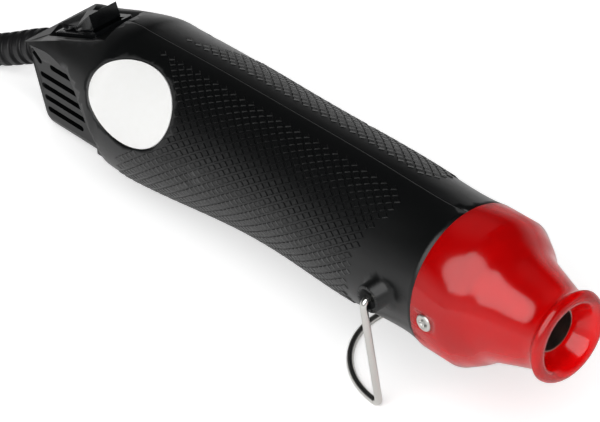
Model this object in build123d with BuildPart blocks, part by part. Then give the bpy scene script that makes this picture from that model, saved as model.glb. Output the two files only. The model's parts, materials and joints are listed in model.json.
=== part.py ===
"""Embossing heat tool: a hand-held hot air blower with a fold-out wire stand.

Every piece is drawn in the tool's own frame, in millimetres: X runs forward along the barrel
from the joint between the housing and the red nozzle cap, +Y is the left side and +Z is up.
The finished pieces are then turned and lifted together, so that the tool stands on its wire
foot and on the heel of its housing, with the floor at zero height.
"""
from build123d import *
import math
import os

os.makedirs("parts", exist_ok=True)

# Housing: a round barrel in two halves, with a narrower tail
barrel_length = 130.0
tail_length = 44.4
front_radius = 22.0
rear_radius = 24.0
rear_drop = 2.9
wall = 2.2
deck_wall = 3.4
heel_length = 13.0
tail_half_width = 14.0
tail_floor = 22.8
tail_corner_radius = 5.0
tail_edge_radius = 3.5
tail_rear_lean = 12.9
heel_flat = 0.35
overrun = 12.0
fit_gap = 0.1
running_gap = 0.06
hair_gap = 0.02

# Barrel sections: share of its length, of the change of radius, and of the drop at the rear
barrel_shares = (
    (0.0, 0.0, 0.0), (0.231, -0.05, -0.035), (0.423, -0.20, -0.207), (0.577, -0.10, -0.103),
    (0.700, 0.30, 0.207), (0.823, 0.75, 0.621), (0.923, 1.0, 0.931), (1.0, 1.0, 1.0),
)
# Crown sections above the tail: share of the tail's length, and of the rear radius
crown_shares = (
    (0.0, 1.0), (0.216, 0.954), (0.27, 0.929), (0.495, 0.8125), (0.608, 0.754), (0.788, 0.692),
    (1.04, 0.605),
)

# Crease between the round crown and the flat cheeks of the tail
crease_radius = 20.2
crease_height = 6.7
crease_rear_height = 3.7
crease_mid_rise_share = 0.63
crease_front_x = -129.1

# Deck: the sloping facet that carries the switch
deck_slope = 21.7
deck_rear_height = 3.9
deck_length = 38.1
recess_length = 25.0
recess_width = 18.5
recess_depth = 1.2
recess_radius = 1.5
switch_position = 19.0

# Cooling slots in the cheeks: share of the tail's length at each end, height of each
slot_width = 1.9
slot_pitch = 4.0
slot_top_height = -4.3
slot_shares = ((0.84, 0.40), (0.835, 0.36), (0.82, 0.36), (0.80, 0.42))
upper_slot_height = 0.3
upper_slot_shares = (0.72, 0.44)
drop_slot_height = 1.4
drop_slot_shares = (0.905, 0.82)
drop_slot_lean = 38.0

# Oval plate on the right side of the housing
label_length = 34.5
label_height = 24.0
label_thickness = 0.5
label_recess_gap = 0.35
label_x = -117.4
label_rise = 36.0

# Wire stand and the two bosses that carry it
pivot_x = -13.0
wire_radius = 1.1
boss_radius = 4.2
boss_reach = 25.1
dish_radius = 3.0
dish_depth = 0.8
arm_gap = 0.65
pin_inset = 6.8
foot_radius = 23.7
stand_drop = 38.0
foot_setback = -1.0
stand_bend_radius = 1.7
foot_run = 2.2
foot_flat = 0.12

# Collar of the housing inside the nozzle cap, and the nozzle cap
collar_length = 8.0
collar_wall = 2.0
cap_fit = 0.2
band_length = 10.0
band_wall = 1.8
cap_length = 38.0
cap_neck_radius = 12.2
lip_radius = 13.5
mouth_radius = 10.6
funnel_radius = 6.75
funnel_depth = 6.5
funnel_land = 1.2
funnel_wall = 1.5
# Outside of the cap's cone: share of the way from band to lip, share of the drop from band to neck
cone_shares = ((0.09, 0.155), (0.17, 0.30), (0.26, 0.505), (0.425, 0.71), (0.65, 0.918), (0.86, 1.0))

# Screws
cap_screw_radius = 1.2
cap_screw_head_radius = 2.6
cap_screw_head_height = 1.3
cap_screw_x = 5.0
cap_screw_length = 4.6
cap_screw_sink = 1.0
shell_screw_radius = 1.3
shell_screw_head_radius = 2.6
shell_screw_head_height = 1.8
shell_screw_length = 16.0
shell_screw_seat = 8.0
pillar_radius = 3.4
driver_slot_width = 0.8
driver_slot_length = 3.2
driver_slot_depth = 0.7
shell_screw_places = (
    (-54.0, 14.6), (-54.0, -15.0), (-121.0, 13.2), (-121.0, -18.2), (-145.0, -16.9),
)

# Heater
sleeve_radius = 15.5
sleeve_wall = 0.5
sleeve_front = 12.0
sleeve_rear = -48.0
rib_thickness = 2.0
sleeve_rib_x = -46.0
base_thickness = 2.0
base_hole_radius = 2.4
base_hole_circle = 6.5
base_hole_count = 6
mica_thickness = 0.8
mica_front = 7.0
coil_radius = 11.0
coil_wire = 0.8
coil_turns = 14
coil_front = 3.0
coil_rear = -41.0
terminal_radius = 0.8
terminal_circle = 11.5
terminal_angle = 45.0
terminal_reach = 4.0
cutout_length = 8.0
cutout_width = 4.0
cutout_height = 2.8

# Steel outlet nozzle inside the cap
outlet_radius = 6.65
outlet_wall = 0.4
outlet_flange_radius = 15.9
outlet_flange_thickness = 1.0
outlet_spigot = 4.0
outlet_tip = 31.7
outlet_cone_front = 27.0
outlet_cone_shares = ((0.08, 0.05), (0.36, 0.36), (0.72, 0.80), (0.93, 0.975))

# Motor and fan
motor_radius = 12.2
motor_front = -76.0
motor_length = 28.0
motor_wall = 1.0
motor_nose_radius = 4.0
motor_nose_length = 1.6
motor_rib_half_height = 6.5
motor_rib_inset = 3.5
end_cap_length = 2.2
magnet_thickness = 1.9
magnet_gap = 0.5
magnet_half_angle = 62.0
armature_length = 15.0
armature_pole_count = 3
armature_slot_width = 2.4
armature_core_radius = 4.6
shaft_radius = 1.0
fan_rear = -72.0
fan_width = 11.0
fan_radius = 16.8
hub_radius = 4.6
blade_count = 8
blade_thickness = 0.9
blade_pitch = 38.0
tab_width = 2.8
tab_thickness = 0.6
tab_length = 4.6
tab_spacing = 8.0

# Rectifier board behind the motor
board_radius = 11.0
board_thickness = 1.2
diode_radius = 1.35
diode_length = 5.2
diode_pitch = 3.6
diode_wire_radius = 0.3
capacitor_length = 7.0
capacitor_width = 2.6
capacitor_height = 5.0

# Rocker switch
bezel_length = 21.0
bezel_width = 15.0
bezel_height = 1.6
bezel_radius = 1.0
body_length = 18.8
body_width = 12.8
body_depth = 12.0
window_length = 18.4
window_width = 11.0
window_depth = 8.0
body_gap = 0.1
rocker_length = 17.2
rocker_side_gap = 0.3
rocker_end_rise = 3.4
rocker_middle_rise = 1.5
rocker_skirt_drop = 2.0
rocker_keel_drop = 4.6
rocker_keel_length = 8.0
rocker_pin_radius = 1.0
rocker_pin_length = 0.6
rocker_pivot_height = 0.6
rocker_tilt = 11.0
blade_tab_width = 4.8
blade_tab_thickness = 0.8
blade_tab_length = 4.6
blade_tab_spacing = 9.0

# Supply cord, its strain relief and the leads inside the housing
cord_radius = 3.0
relief_height = -4.6
relief_length = 37.0
relief_end_slope = 12.0
relief_sag = 14.0
relief_yaw = 20.0
relief_rib_count = 9
relief_root_radius = 5.7
relief_tip_radius = 5.0
relief_groove_depth = 1.0
relief_neck_radius = 4.0
relief_flange_radius = 5.2
relief_flange_thickness = 1.6
lead_radius = 0.7
lead_spacing = 1.6
lead_circle = 18.2
lead_rise_angle = 27.0

# Wound-up rest of the cord, on the floor behind the tool
coil_mean_radius = 30.0
coil_pitch = 6.6
coil_start_angle = -48.0
layer_turns = 1.65
layer_count = 4
coil_total = 7.117
climb_turns = 0.5
last_climb_turns = 0.74
coil_lead_in = 6.0
coil_exit_run = 6.0
coil_centre = (-270.6, -10.5)
plug_length = 28.0
plug_width = 23.0
plug_height = 16.0
plug_rest_gap = 0.2
plug_neck_radius = 4.6
plug_neck_length = 10.0
plug_corner_radius = 5.0
prong_length = 17.0
prong_width = 6.35
prong_thickness = 1.5
prong_spacing = 12.7

# Route of the free stretch of cord on the floor, chosen by hand; the coil carries on from it
cord_route = ((-222.2, -15.9), (-233.5, -25.0))
route_share = 0.45

# How the tool stands: on the wire foot in front, on a small flat under the heel behind
axis_height = stand_drop + wire_radius - foot_flat
heel_reach = barrel_length + heel_length
heel_depth = rear_radius + rear_drop - heel_flat
nose_up = math.degrees(
    math.asin(axis_height / math.hypot(heel_reach, heel_depth)) - math.atan2(heel_depth, heel_reach)
)
nose_cos = math.cos(math.radians(nose_up))
nose_sin = math.sin(math.radians(nose_up))
tail_rear_x = -barrel_length - tail_length
front_reach = cap_length * nose_cos + cap_neck_radius * nose_sin
rear_reach = tail_rear_x * nose_cos - deck_rear_height * nose_sin
centre_shift = -(front_reach + rear_reach) / 2
standing = Location((centre_shift, 0, axis_height), (0, -nose_up, 0))
floor_plane = Plane(
    origin=(-axis_height * nose_sin, 0, -axis_height * nose_cos),
    x_dir=(nose_cos, 0, -nose_sin), z_dir=(nose_sin, 0, nose_cos),
)
print("nose up", round(nose_up, 2), "degrees, axis height", round(axis_height, 2))

# The deck's own plane: origin at its rear edge, X up the slope
deck_cos = math.cos(math.radians(deck_slope))
deck_sin = math.sin(math.radians(deck_slope))
deck_plane = Plane(
    origin=(tail_rear_x, 0, deck_rear_height),
    x_dir=(deck_cos, 0, deck_sin), z_dir=(-deck_sin, 0, deck_cos),
)
rear_tangent = math.tan(math.radians(tail_rear_lean))

# The flat rear face, with its origin where the cord comes out
rear_normal = (-math.cos(math.radians(tail_rear_lean)), 0, -math.sin(math.radians(tail_rear_lean)))
exit_x = tail_rear_x + (deck_rear_height - relief_height) * rear_tangent
exit_plane = Plane(origin=(exit_x, 0, relief_height), x_dir=(0, 1, 0), z_dir=rear_normal)


def on_deck(along, above):
    """A point in the middle plane, from its place along and above the deck."""
    return (
        tail_rear_x + along * deck_cos - above * deck_sin,
        deck_rear_height + along * deck_sin + above * deck_cos,
    )


def barrel_form(inset):
    """The round barrel, with its surface moved inwards by inset."""
    with BuildPart() as form:
        for length_share, radius_share, drop_share in barrel_shares:
            with BuildSketch(Plane.YZ.offset(-length_share * barrel_length)):
                with Locations((0, -drop_share * rear_drop)):
                    Circle(front_radius + radius_share * (rear_radius - front_radius) - inset)
        loft()
    return form.part


def crown_form(inset):
    """The tapering round top of the tail, with its surface moved inwards by inset."""
    with BuildPart() as form:
        for length_share, radius_share in crown_shares:
            with BuildSketch(Plane.YZ.offset(-barrel_length - length_share * tail_length)):
                with Locations((0, -rear_drop)):
                    Circle(radius_share * rear_radius - inset)
        loft()
    return form.part


def round_form(inset):
    """The barrel and the crown behind it as one smooth round form."""
    with BuildPart() as form:
        add(barrel_form(inset))
        add(crown_form(inset))
    return form.part


crease_centre = (crease_front_x - crease_radius, crease_height - crease_radius)
crease_top = (crease_centre[0], crease_height)
crease_rear = (tail_rear_x - wall, crease_rear_height)
crease_mid = (
    (crease_top[0] + crease_rear[0]) / 2,
    crease_rear_height + crease_mid_rise_share * (crease_height - crease_rear_height),
)
crease_bend = (
    crease_centre[0] + crease_radius * math.sin(math.radians(45)),
    crease_centre[1] + crease_radius * math.cos(math.radians(45)),
)
crease_low = (crease_front_x, crease_centre[1])
tail_seat_x = -barrel_length + wall


def tail_slab(inset):
    """The flat-sided tail under the crown, with its faces moved inwards by inset."""
    bottom = -tail_floor + inset
    rear_shift = inset / math.cos(math.radians(tail_rear_lean))
    roof_rear = crease_rear_height - inset
    roof_front = crease_height - inset
    rear_top_x = tail_rear_x + (deck_rear_height - roof_rear) * rear_tangent + rear_shift
    rear_bottom_x = tail_rear_x + (deck_rear_height - bottom) * rear_tangent + rear_shift
    with BuildPart() as form:
        with BuildSketch(Plane.XZ):
            with BuildLine():
                Polyline(
                    (rear_top_x, roof_rear), (rear_bottom_x, bottom), (tail_seat_x, bottom),
                    (tail_seat_x, roof_front), (crease_top[0], roof_front), (rear_top_x, roof_rear),
                )
            make_face()
            corner = vertices().sort_by(Axis.Y)[:2].sort_by(Axis.X)[0]
            fillet(corner, tail_corner_radius - inset)
        extrude(amount=tail_half_width - inset, both=True)
        rims = edges().filter_by(lambda e: e.center().Z < roof_rear - tail_edge_radius)
        rims = rims.filter_by(Axis.Y, reverse=True)
        rims = rims.filter_by(lambda e: e.center().X < tail_seat_x - wall)
        fillet(rims, tail_edge_radius - inset / 2)
    return form.part


# The whole outside of the housing, before it is split
with BuildPart() as outside:
    add(crown_form(0))
    with BuildSketch(Plane.XZ):
        with BuildLine():
            ThreePointArc(crease_rear, crease_mid, crease_top)
            ThreePointArc(crease_top, crease_bend, crease_low)
            Polyline(
                crease_low, (crease_front_x, -rear_radius - overrun),
                (rear_radius, -rear_radius - overrun), (rear_radius, rear_radius + overrun),
                (crease_rear[0], rear_radius + overrun), crease_rear,
            )
        make_face()
    extrude(amount=rear_radius + overrun, both=True, mode=Mode.INTERSECT)
    add(barrel_form(0))
    add(tail_slab(0))
    with BuildSketch(exit_plane):
        Rectangle(4 * rear_radius, 4 * rear_radius)
    extrude(amount=overrun, mode=Mode.SUBTRACT)
    with BuildSketch(Plane.YZ.offset(-heel_reach)):
        with Locations((0, -rear_drop)):
            Circle(rear_radius)
        with Locations((0, -rear_drop - rear_radius / 2)):
            Rectangle(2 * tail_half_width, rear_radius, mode=Mode.INTERSECT)
    extrude(amount=heel_length + wall)
    with BuildSketch(Plane.XZ):
        with Locations((pivot_x, 0)):
            Circle(boss_radius)
    extrude(amount=boss_reach, both=True)
    with BuildSketch(Plane.YZ):
        Circle(front_radius - band_wall - cap_fit)
    extrude(amount=collar_length)
    # The deck, its shallow recess and the hole for the switch
    with BuildSketch(deck_plane):
        with Locations((deck_length / 2 - overrun / 2, 0)):
            Rectangle(deck_length + overrun, 2 * rear_radius)
    extrude(amount=rear_radius, mode=Mode.SUBTRACT)
    with BuildSketch(deck_plane.offset(-recess_depth)):
        with Locations((switch_position, 0)):
            RectangleRounded(recess_length, recess_width, recess_radius)
    extrude(amount=rear_radius, mode=Mode.SUBTRACT)
    # Flat under the heel, in the plane of the floor
    with BuildSketch(floor_plane):
        with Locations((-heel_reach, 0)):
            Rectangle(2 * rear_radius, 2 * rear_radius)
    extrude(amount=-rear_radius, mode=Mode.SUBTRACT)

# The space inside: the barrel's bore and the tail's chamber under the deck
with BuildPart() as cavity:
    add(barrel_form(wall))
    with BuildSketch(Plane.YZ.offset(-wall - rib_thickness / 2)):
        Circle(front_radius + overrun)
    extrude(amount=overrun, mode=Mode.SUBTRACT)
    with BuildSketch(Plane.YZ.offset(-barrel_length - overrun)):
        Circle(rear_radius + overrun)
    extrude(amount=overrun + wall, mode=Mode.SUBTRACT)
    with BuildSketch(Plane.YZ.offset(-wall - rib_thickness)):
        Circle(front_radius - band_wall - cap_fit - collar_wall)
    extrude(amount=collar_length + overrun)

with BuildPart() as chamber:
    add(tail_slab(wall))
    with BuildSketch(Plane.XZ):
        with BuildLine():
            Polyline(
                on_deck(0, -deck_wall), on_deck(deck_length, -deck_wall),
                (tail_seat_x + wall, on_deck(deck_length, -deck_wall)[1]),
                (tail_seat_x + wall, -tail_floor + wall), (crease_top[0], -tail_floor + wall),
                (crease_top[0], 0), (tail_rear_x + tail_corner_radius, 0), close=True,
            )
        make_face()
    extrude(amount=tail_half_width - wall, both=True)
    with BuildSketch(deck_plane.offset(-deck_wall)):
        with Locations((deck_length / 2, 0)):
            Rectangle(2 * deck_length, 2 * rear_radius)
    extrude(amount=rear_radius, mode=Mode.SUBTRACT)

def slot_ends(shares):
    """Places along the tail of the two ends of a cooling slot."""
    return [-barrel_length - share * tail_length for share in shares]


# Everything that stands up from the walls inside the housing
sleeve_seat_radius = sleeve_radius + fit_gap
motor_rear = motor_front - motor_length

with BuildPart() as ribs:
    # Rings that hold the heater sleeve
    for start in (sleeve_rib_x, collar_length - rib_thickness):
        with BuildSketch(Plane.YZ.offset(start)):
            Circle(front_radius - wall / 2)
            Circle(sleeve_seat_radius, mode=Mode.SUBTRACT)
        extrude(amount=rib_thickness)
    # Side webs that hold the motor
    for start in (motor_front - motor_rib_inset, motor_rear + motor_rib_inset):
        with BuildSketch(Plane.YZ.offset(start)):
            Rectangle(2 * rear_radius, 2 * motor_rib_half_height)
            Circle(motor_radius + fit_gap, mode=Mode.SUBTRACT)
        extrude(amount=-rib_thickness)
    # Pillars for the screws that join the halves
    with BuildSketch(Plane.XZ):
        with Locations(*shell_screw_places):
            Circle(pillar_radius)
    extrude(amount=rear_radius, both=True)
    add(outside, mode=Mode.INTERSECT)

# The oval plate and its recess, pressed square to the right side of the housing
label_turn = math.radians(label_rise)
label_normal = (0, -math.cos(label_turn), math.sin(label_turn))
label_plane = Plane(origin=(label_x, 0, -rear_drop), x_dir=(1, 0, 0), z_dir=label_normal)

with BuildPart() as label:
    with BuildSketch(label_plane):
        Ellipse(label_length / 2, label_height / 2)
    extrude(amount=rear_radius + overrun)
    add(round_form(fit_gap), mode=Mode.INTERSECT)
    add(round_form(fit_gap + label_thickness), mode=Mode.SUBTRACT)

with BuildPart() as label_recess:
    with BuildSketch(label_plane):
        Ellipse(label_length / 2 + label_recess_gap, label_height / 2 + label_recess_gap)
    extrude(amount=rear_radius + overrun)
    add(round_form(fit_gap + label_thickness), mode=Mode.SUBTRACT)

stand_hole_radius = wire_radius + running_gap

with BuildPart() as both_shells:
    add(outside)
    add(cavity, mode=Mode.SUBTRACT)
    add(chamber, mode=Mode.SUBTRACT)
    add(ribs)
    add(label_recess, mode=Mode.SUBTRACT)
    # Dish and hole in each boss, for the ends of the wire stand
    with BuildSketch(Plane.XZ):
        with Locations((pivot_x, 0)):
            Circle(stand_hole_radius)
    extrude(amount=rear_radius + overrun, both=True, mode=Mode.SUBTRACT)
    for side in (1, -1):
        with BuildSketch(Plane.XZ.offset(side * (boss_reach - dish_depth))):
            with Locations((pivot_x, 0)):
                Circle(dish_radius)
        extrude(amount=side * overrun, mode=Mode.SUBTRACT)
    # Cooling slots through both cheeks
    for side in (1, -1):
        with BuildSketch(Plane.XZ.offset(side * (tail_half_width - wall - fit_gap))):
            for row, shares in enumerate(slot_shares):
                rear_end, front_end = slot_ends(shares)
                with Locations(((rear_end + front_end) / 2, slot_top_height - row * slot_pitch)):
                    SlotOverall(front_end - rear_end, slot_width)
            rear_end, front_end = slot_ends(upper_slot_shares)
            with Locations(((rear_end + front_end) / 2, upper_slot_height)):
                SlotOverall(front_end - rear_end, slot_width)
            rear_end, front_end = slot_ends(drop_slot_shares)
            with Locations(((rear_end + front_end) / 2, drop_slot_height)):
                SlotOverall(front_end - rear_end + slot_width, slot_width, rotation=-drop_slot_lean)
        extrude(amount=side * 2 * wall, mode=Mode.SUBTRACT)
    # Hole for the switch, and the round hole where the cord comes in
    with BuildSketch(deck_plane.offset(-deck_wall - wall)):
        with Locations((switch_position, 0)):
            Rectangle(body_length + 2 * body_gap, body_width + 2 * body_gap)
    extrude(amount=rear_radius, mode=Mode.SUBTRACT)
    with BuildSketch(exit_plane.offset(-tail_corner_radius)):
        Circle(relief_neck_radius + fit_gap)
    extrude(amount=overrun, mode=Mode.SUBTRACT)
    # Pilot holes for the screws of the nozzle cap
    with BuildSketch(Plane.XZ):
        with Locations((cap_screw_x, 0)):
            Circle(cap_screw_radius + hair_gap)
    extrude(amount=front_radius, both=True, mode=Mode.SUBTRACT)

with BuildPart() as right_shell:
    add(both_shells)
    split(bisect_by=Plane.XZ, keep=Keep.TOP)
    with BuildSketch(Plane.XZ):
        with Locations(*shell_screw_places):
            Circle(shell_screw_radius + hair_gap)
    extrude(amount=shell_screw_length - shell_screw_seat + wall / 2, mode=Mode.SUBTRACT)

with BuildPart() as left_shell:
    add(both_shells)
    split(bisect_by=Plane.XZ, keep=Keep.BOTTOM)
    with BuildSketch(Plane.XZ):
        with Locations(*shell_screw_places):
            Circle(shell_screw_radius + fit_gap)
    extrude(amount=-rear_radius - overrun, mode=Mode.SUBTRACT)
    with BuildSketch(Plane.XZ.offset(-shell_screw_seat)):
        with Locations(*shell_screw_places):
            Circle(shell_screw_head_radius + fit_gap)
    extrude(amount=-rear_radius - overrun, mode=Mode.SUBTRACT)

# Nozzle cap: one translucent moulding turned about the barrel's axis
cone_length = cap_length - band_length
cone_drop = front_radius - cap_neck_radius
cone_outside = [
    (band_length + along * cone_length, front_radius - down * cone_drop)
    for along, down in cone_shares
]
cone_inside = [(x, radius - band_wall) for x, radius in cone_outside]
lip_thickness = (cap_length - cone_outside[-1][0]) / 2
lip_start = (cap_length - lip_thickness, lip_radius)
funnel_root = cap_length - funnel_depth

with BuildPart() as nozzle_cap:
    with BuildSketch(Plane.XZ):
        with BuildLine():
            Line((0, front_radius), (band_length, front_radius))
            Spline((band_length, front_radius), *cone_outside, lip_start)
            ThreePointArc(
                lip_start,
                (cap_length - lip_thickness / 3, lip_radius - lip_thickness / 3),
                (cap_length, lip_radius - lip_thickness),
            )
            Polyline(
                (cap_length, lip_radius - lip_thickness), (cap_length, mouth_radius),
                (funnel_root, funnel_radius), (funnel_root - funnel_land, funnel_radius),
                (funnel_root - funnel_land, funnel_radius + funnel_wall),
                (cone_outside[-1][0], cone_inside[-1][1]),
            )
            Spline(cone_inside[-1], *cone_inside[-2::-1], (band_length, front_radius - band_wall))
            Polyline(
                (band_length, front_radius - band_wall), (0, front_radius - band_wall),
                (0, front_radius),
            )
        make_face()
    revolve(axis=Axis.X)
    for side in (1, -1):
        with BuildSketch(Plane.XZ):
            with Locations((cap_screw_x, 0)):
                Circle(cap_screw_radius + fit_gap)
        extrude(amount=side * (front_radius + overrun), mode=Mode.SUBTRACT)
        with BuildSketch(Plane.XZ.offset(side * (front_radius - cap_screw_sink))):
            with Locations((cap_screw_x, 0)):
                Circle(cap_screw_head_radius + fit_gap)
        extrude(amount=side * overrun, mode=Mode.SUBTRACT)


def pan_screw(seat, shaft_radius_here, length, head_radius, head_height):
    """A screw with a rounded head and a cross slot: seat is the plane under its head."""
    with BuildPart() as screw:
        with BuildSketch(seat):
            Circle(shaft_radius_here)
        extrude(amount=-length)
        with BuildSketch(seat):
            Circle(head_radius)
        extrude(amount=head_height)
        fillet(faces().sort_by(Axis(seat.origin, seat.z_dir))[-1].edges(), head_height / 2)
        with BuildSketch(seat.offset(head_height - driver_slot_depth)):
            Rectangle(driver_slot_length, driver_slot_width)
            Rectangle(driver_slot_width, driver_slot_length)
        extrude(amount=head_height, mode=Mode.SUBTRACT)
    return screw.part


def side_plane(side, x, y, z):
    """A plane square to Y at a point, facing out to the given side."""
    return Plane(origin=(x, side * y, z), x_dir=(1, 0, 0), z_dir=(0, side, 0))


with BuildPart() as cap_screws:
    for side in (1, -1):
        add(pan_screw(
            side_plane(side, cap_screw_x, front_radius - cap_screw_sink, 0),
            cap_screw_radius, cap_screw_length, cap_screw_head_radius, cap_screw_head_height,
        ))

with BuildPart() as shell_screws:
    for x, z in shell_screw_places:
        add(pan_screw(
            side_plane(1, x, shell_screw_seat, z),
            shell_screw_radius, shell_screw_length, shell_screw_head_radius,
            shell_screw_head_height,
        ))

# Heater: a sleeve, its rear disc, two crossed mica plates and the wound wire
with BuildPart() as heater_sleeve:
    with BuildSketch(Plane.YZ.offset(sleeve_rear)):
        Circle(sleeve_radius)
        Circle(sleeve_radius - sleeve_wall, mode=Mode.SUBTRACT)
    extrude(amount=sleeve_front - sleeve_rear)

sleeve_bore = sleeve_radius - sleeve_wall
base_front = sleeve_rear + base_thickness
coil_bore = coil_radius - coil_wire / 2
mica_half_width = coil_bore - fit_gap
mica_middle = (base_front + mica_front) / 2
mica_length = mica_front - base_front
slot_reach = mica_length / 2 + fit_gap
terminal_y = terminal_circle * math.cos(math.radians(terminal_angle))
terminal_z = terminal_circle * math.sin(math.radians(terminal_angle))
terminal_places = ((terminal_y, terminal_z), (-terminal_y, terminal_z))

with BuildPart() as heater_base:
    with BuildSketch(Plane.YZ.offset(sleeve_rear)):
        Circle(sleeve_bore - fit_gap)
        with PolarLocations(base_hole_circle, base_hole_count, start_angle=30):
            Circle(base_hole_radius, mode=Mode.SUBTRACT)
        with Locations(*terminal_places):
            Circle(terminal_radius + hair_gap, mode=Mode.SUBTRACT)
    extrude(amount=base_thickness)

with BuildPart() as heater_terminals:
    with BuildSketch(Plane.YZ.offset(sleeve_rear - terminal_reach)):
        with Locations(*terminal_places):
            Circle(terminal_radius)
    extrude(amount=coil_rear - coil_wire - sleeve_rear + terminal_reach)

# The flat plate has its slot at the front, the upright one at the rear, so that they cross
with BuildPart() as mica_plate_flat:
    with BuildSketch(Plane.XY):
        with Locations((mica_middle, 0)):
            Rectangle(mica_length, 2 * mica_half_width)
        with Locations((mica_front - slot_reach / 2, 0)):
            Rectangle(slot_reach, mica_thickness + 2 * hair_gap, mode=Mode.SUBTRACT)
    extrude(amount=mica_thickness / 2, both=True)

with BuildPart() as mica_plate_upright:
    with BuildSketch(Plane.XZ):
        with Locations((mica_middle, 0)):
            Rectangle(mica_length, 2 * mica_half_width)
        with Locations((base_front + slot_reach / 2, 0)):
            Rectangle(slot_reach, mica_thickness + 2 * hair_gap, mode=Mode.SUBTRACT)
    extrude(amount=mica_thickness / 2, both=True)


def biarc(start, start_way, end, end_way):
    """Two tangent arcs between two points that keep the directions at both."""
    span = end - start
    both_ways = start_way + end_way
    square_term = 2 * (start_way.dot(end_way) - 1)
    linear_term = -2 * span.dot(both_ways)
    reach = (-linear_term - math.sqrt(linear_term**2 - 4 * square_term * span.dot(span))) / (
        2 * square_term
    )
    leaving = start + start_way * reach
    arriving = end - end_way * reach
    middle = (leaving + arriving) / 2
    TangentArc(start, middle, tangent=start_way)
    TangentArc(middle, end, tangent=arriving - leaving)


def least_gap(points, thickness, skip):
    """Smallest clear distance between parts of a wound wire that lie a while apart on it."""
    return min(
        (points[i] - points[j]).length - thickness
        for i in range(len(points)) for j in range(i + skip, len(points))
    )


def heater_point(turns):
    """Point and direction on the heater wire after a number of turns."""
    angle = 2 * math.pi * turns
    pitch = (coil_front - coil_rear) / coil_turns
    point = Vector(
        coil_rear + pitch * turns, coil_radius * math.cos(angle), coil_radius * math.sin(angle)
    )
    rise = pitch / (2 * math.pi * coil_radius)
    way = Vector(rise, -math.sin(angle), math.cos(angle)).normalized()
    return point, way


quarters = range(4 * coil_turns)
with BuildPart() as heater_coil:
    with BuildLine() as heater_path:
        for quarter in quarters:
            biarc(*heater_point(quarter / 4), *heater_point((quarter + 1) / 4))
    with BuildSketch(Plane(origin=heater_path.line @ 0, z_dir=heater_path.line % 0)):
        Circle(coil_wire / 2)
    sweep()
heater_points = [heater_point(step / 12)[0] for step in range(12 * coil_turns)]
print("heater coil least gap", round(least_gap(heater_points, coil_wire, 6), 2), "mm")

with BuildPart() as thermal_cutout:
    with BuildSketch(Plane.YZ.offset(sleeve_rear - fit_gap)):
        RectangleRounded(cutout_length, cutout_width, cutout_width / 4)
    extrude(amount=-cutout_height)

# Steel outlet: a spigot in the sleeve, a flange on its end, a cone and the tube to the mouth
outlet_start = sleeve_front + outlet_flange_thickness
outlet_cone_length = outlet_cone_front - outlet_start
outlet_drop = sleeve_radius - outlet_radius
outlet_outside = [
    (outlet_start + along * outlet_cone_length, sleeve_radius - down * outlet_drop)
    for along, down in outlet_cone_shares
]
outlet_inside = [(x - outlet_wall, radius - outlet_wall) for x, radius in outlet_outside]
spigot_radius = sleeve_bore - fit_gap
with BuildPart() as outlet_nozzle:
    with BuildSketch(Plane.XZ):
        with BuildLine():
            Polyline(
                (sleeve_front - outlet_spigot, spigot_radius), (sleeve_front, spigot_radius),
                (sleeve_front, outlet_flange_radius), (outlet_start, outlet_flange_radius),
                (outlet_start, sleeve_radius), *outlet_outside,
                (outlet_cone_front, outlet_radius), (outlet_tip, outlet_radius),
                (outlet_tip, outlet_radius - outlet_wall),
                (outlet_cone_front, outlet_radius - outlet_wall), *outlet_inside[::-1],
                (sleeve_front, spigot_radius - outlet_wall),
                (sleeve_front - outlet_spigot, spigot_radius - outlet_wall), close=True,
            )
        make_face()
    revolve(axis=Axis.X)

# Motor: a steel can with magnets, a plastic end cap, and the turning armature on its shaft
can_bore = motor_radius - motor_wall
shaft_bore = shaft_radius + running_gap
with BuildPart() as motor_can:
    with BuildSketch(Plane.YZ.offset(motor_rear)):
        Circle(motor_radius)
    extrude(amount=motor_length)
    with BuildSketch(Plane.YZ.offset(motor_front)):
        Circle(motor_nose_radius)
    extrude(amount=motor_nose_length)
    with BuildSketch(Plane.YZ.offset(motor_rear)):
        Circle(can_bore)
    extrude(amount=motor_length - motor_wall, mode=Mode.SUBTRACT)
    with BuildSketch(Plane.YZ.offset(motor_rear)):
        Circle(shaft_bore)
    extrude(amount=motor_length + overrun, mode=Mode.SUBTRACT)

magnet_outer = can_bore - hair_gap
magnet_inner = magnet_outer - magnet_thickness
magnet_length = armature_length + 2 * motor_wall
armature_middle = motor_front - motor_length / 2
with BuildPart() as motor_magnets:
    for turn in (0, 180):
        with BuildSketch(Plane.YZ.offset(armature_middle - magnet_length / 2)):
            with BuildLine():
                CenterArc((0, 0), magnet_outer, turn - magnet_half_angle, 2 * magnet_half_angle)
                CenterArc((0, 0), magnet_inner, turn - magnet_half_angle, 2 * magnet_half_angle)
                for end_turn in (turn - magnet_half_angle, turn + magnet_half_angle):
                    way = Vector(1, 0).rotate(Axis.Z, end_turn)
                    Line(way * magnet_inner, way * magnet_outer)
            make_face()
        extrude(amount=magnet_length)

with BuildPart() as motor_end_cap:
    with BuildSketch(Plane.YZ.offset(motor_rear)):
        Circle(motor_radius)
    extrude(amount=-end_cap_length)
    with BuildSketch(Plane.YZ.offset(motor_rear)):
        Circle(can_bore - hair_gap)
    extrude(amount=motor_wall)
    with BuildSketch(Plane.YZ.offset(motor_rear - end_cap_length)):
        Circle(shaft_bore)
        with Locations((tab_spacing, 0), (-tab_spacing, 0)):
            Rectangle(tab_thickness + 2 * hair_gap, tab_width + 2 * hair_gap)
    extrude(amount=end_cap_length + overrun, mode=Mode.SUBTRACT)

with BuildPart() as motor_terminals:
    with BuildSketch(Plane.YZ.offset(motor_rear + motor_wall)):
        with Locations((tab_spacing, 0), (-tab_spacing, 0)):
            Rectangle(tab_thickness, tab_width)
    extrude(amount=-motor_wall - end_cap_length - tab_length)

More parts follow.
